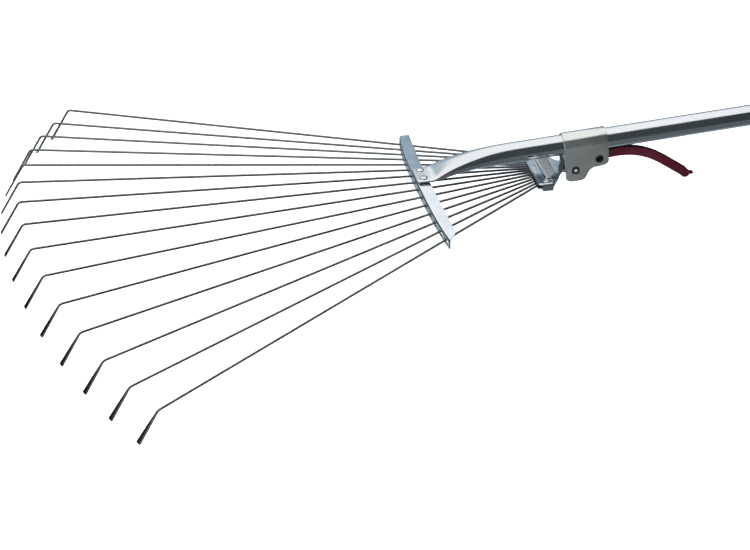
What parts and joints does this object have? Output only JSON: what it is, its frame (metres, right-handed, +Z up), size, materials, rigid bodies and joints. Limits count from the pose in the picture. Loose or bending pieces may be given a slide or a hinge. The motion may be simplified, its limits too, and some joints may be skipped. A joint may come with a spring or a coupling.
{
  "type": "leaf rake",
  "caption": "Adjustable leaf rake: tube handle, slotted cross bar, spring-wire tines fanned from a sliding head, bracket with cam locking lever, rubber grip.",
  "frame": {"origin": "on the ground, under the middle of the rake's box, as it lies on its outer tine tips and the end of its grip", "axes": "+X runs back along the handle to the grip, +Y to the left of a person raking, +Z up from the ground"},
  "size_m": [1.636, 0.6358, 0.0932],
  "materials": {
    "tube": "bright drawn aluminium, satin polished",
    "bracket": "galvanised grey sheet steel, dull",
    "lever": "dark maroon coating",
    "zinc": "bright bluish zinc plate on steel",
    "tine": "zinc-plated spring wire",
    "rivet": "dark steel rivet",
    "grip": "matt black rubber",
    "cap": "black moulded plastic"
  },
  "bodies": {
    "handle": {"handle_tube": "tube", "hand_grip": "grip", "end_cap": "cap", "cross_bar": "zinc", "bar_rivet_left": "zinc", "bar_rivet_right": "zinc"},
    "slider": {"slider_bracket": "bracket", "head_pin": "rivet", "lever_pin": "rivet"},
    "lever": {"lock_lever": "lever"},
    "head": {"head_top_plate": "zinc", "head_bottom_plate": "zinc", "head_rivet_left": "zinc", "head_rivet_right": "zinc", "tine_08": "tine"},
    "tine_01": {"tine_01": "tine"},
    "tine_02": {"tine_02": "tine"},
    "tine_03": {"tine_03": "tine"},
    "tine_04": {"tine_04": "tine"},
    "tine_05": {"tine_05": "tine"},
    "tine_06": {"tine_06": "tine"},
    "tine_07": {"tine_07": "tine"},
    "tine_09": {"tine_09": "tine"},
    "tine_10": {"tine_10": "tine"},
    "tine_11": {"tine_11": "tine"},
    "tine_12": {"tine_12": "tine"},
    "tine_13": {"tine_13": "tine"},
    "tine_14": {"tine_14": "tine"},
    "tine_15": {"tine_15": "tine"}
  },
  "joints": [
    {"name": "bracket_slide", "type": "slide", "parent": "handle", "child": "slider", "axis": [0.9993, 0, -0.0373], "range_m": [0, 0.1]},
    {"name": "lever_turn", "type": "hinge", "parent": "slider", "child": "lever", "pos_m": [-0.19416, 0, 0.04709], "axis": [0, 1, 0], "range_deg": [0, 75]},
    {"name": "head_turn", "type": "hinge", "parent": "slider", "child": "head", "pos_m": [-0.22029, 0, 0.03876], "axis": [0, -1, 0], "range_deg": [0, 1.23]},
    {"name": "tine_01_swivel", "type": "hinge", "parent": "head", "child": "tine_01", "pos_m": [-0.25335, 0.02333, 0.04069], "axis": [0.0924, 0.1289, 0.9873], "range_deg": [0, 12.97]},
    {"name": "tine_02_swivel", "type": "hinge", "parent": "head", "child": "tine_02", "pos_m": [-0.25335, 0.02, 0.04069], "axis": [0.0929, 0.1255, 0.9877], "range_deg": [0, 11.48]},
    {"name": "tine_03_swivel", "type": "hinge", "parent": "head", "child": "tine_03", "pos_m": [-0.25335, 0.01667, 0.04069], "axis": [0.0934, 0.1153, 0.9889], "range_deg": [0, 9.83]},
    {"name": "tine_04_swivel", "type": "hinge", "parent": "head", "child": "tine_04", "pos_m": [-0.25335, 0.01333, 0.04069], "axis": [0.0939, 0.0993, 0.9906], "range_deg": [0, 8.04]},
    {"name": "tine_05_swivel", "type": "hinge", "parent": "head", "child": "tine_05", "pos_m": [-0.25335, 0.01, 0.04069], "axis": [0.0943, 0.0787, 0.9924], "range_deg": [0, 6.13]},
    {"name": "tine_06_swivel", "type": "hinge", "parent": "head", "child": "tine_06", "pos_m": [-0.25335, 0.00667, 0.04069], "axis": [0.0946, 0.0545, 0.994], "range_deg": [0, 4.14]},
    {"name": "tine_07_swivel", "type": "hinge", "parent": "head", "child": "tine_07", "pos_m": [-0.25335, 0.00333, 0.04069], "axis": [0.0949, 0.0278, 0.9951], "range_deg": [0, 2.08]},
    {"name": "tine_09_swivel", "type": "hinge", "parent": "head", "child": "tine_09", "pos_m": [-0.25335, -0.00333, 0.04069], "axis": [-0.0949, 0.0278, -0.9951], "range_deg": [0, 2.08]},
    {"name": "tine_10_swivel", "type": "hinge", "parent": "head", "child": "tine_10", "pos_m": [-0.25335, -0.00667, 0.04069], "axis": [-0.0946, 0.0545, -0.994], "range_deg": [0, 4.14]},
    {"name": "tine_11_swivel", "type": "hinge", "parent": "head", "child": "tine_11", "pos_m": [-0.25335, -0.01, 0.04069], "axis": [-0.0943, 0.0787, -0.9924], "range_deg": [0, 6.13]},
    {"name": "tine_12_swivel", "type": "hinge", "parent": "head", "child": "tine_12", "pos_m": [-0.25335, -0.01333, 0.04069], "axis": [-0.0939, 0.0993, -0.9906], "range_deg": [0, 8.04]},
    {"name": "tine_13_swivel", "type": "hinge", "parent": "head", "child": "tine_13", "pos_m": [-0.25335, -0.01667, 0.04069], "axis": [-0.0934, 0.1153, -0.9889], "range_deg": [0, 9.83]},
    {"name": "tine_14_swivel", "type": "hinge", "parent": "head", "child": "tine_14", "pos_m": [-0.25335, -0.02, 0.04069], "axis": [-0.0929, 0.1255, -0.9877], "range_deg": [0, 11.48]},
    {"name": "tine_15_swivel", "type": "hinge", "parent": "head", "child": "tine_15", "pos_m": [-0.25335, -0.02333, 0.04069], "axis": [-0.0924, 0.1289, -0.9873], "range_deg": [0, 12.97]}
  ],
  "couplings": [
    {"joint": "head_turn", "follows": "bracket_slide", "rad_per_m": 0.21495},
    {"joint": "tine_01_swivel", "follows": "bracket_slide", "rad_per_m": 2.264},
    {"joint": "tine_02_swivel", "follows": "bracket_slide", "rad_per_m": 2.0038},
    {"joint": "tine_03_swivel", "follows": "bracket_slide", "rad_per_m": 1.7158},
    {"joint": "tine_04_swivel", "follows": "bracket_slide", "rad_per_m": 1.4032},
    {"joint": "tine_05_swivel", "follows": "bracket_slide", "rad_per_m": 1.0703},
    {"joint": "tine_06_swivel", "follows": "bracket_slide", "rad_per_m": 0.72202},
    {"joint": "tine_07_swivel", "follows": "bracket_slide", "rad_per_m": 0.36354},
    {"joint": "tine_09_swivel", "follows": "bracket_slide", "rad_per_m": 0.36354},
    {"joint": "tine_10_swivel", "follows": "bracket_slide", "rad_per_m": 0.72202},
    {"joint": "tine_11_swivel", "follows": "bracket_slide", "rad_per_m": 1.0703},
    {"joint": "tine_12_swivel", "follows": "bracket_slide", "rad_per_m": 1.4032},
    {"joint": "tine_13_swivel", "follows": "bracket_slide", "rad_per_m": 1.7158},
    {"joint": "tine_14_swivel", "follows": "bracket_slide", "rad_per_m": 2.0038},
    {"joint": "tine_15_swivel", "follows": "bracket_slide", "rad_per_m": 2.264}
  ]
}
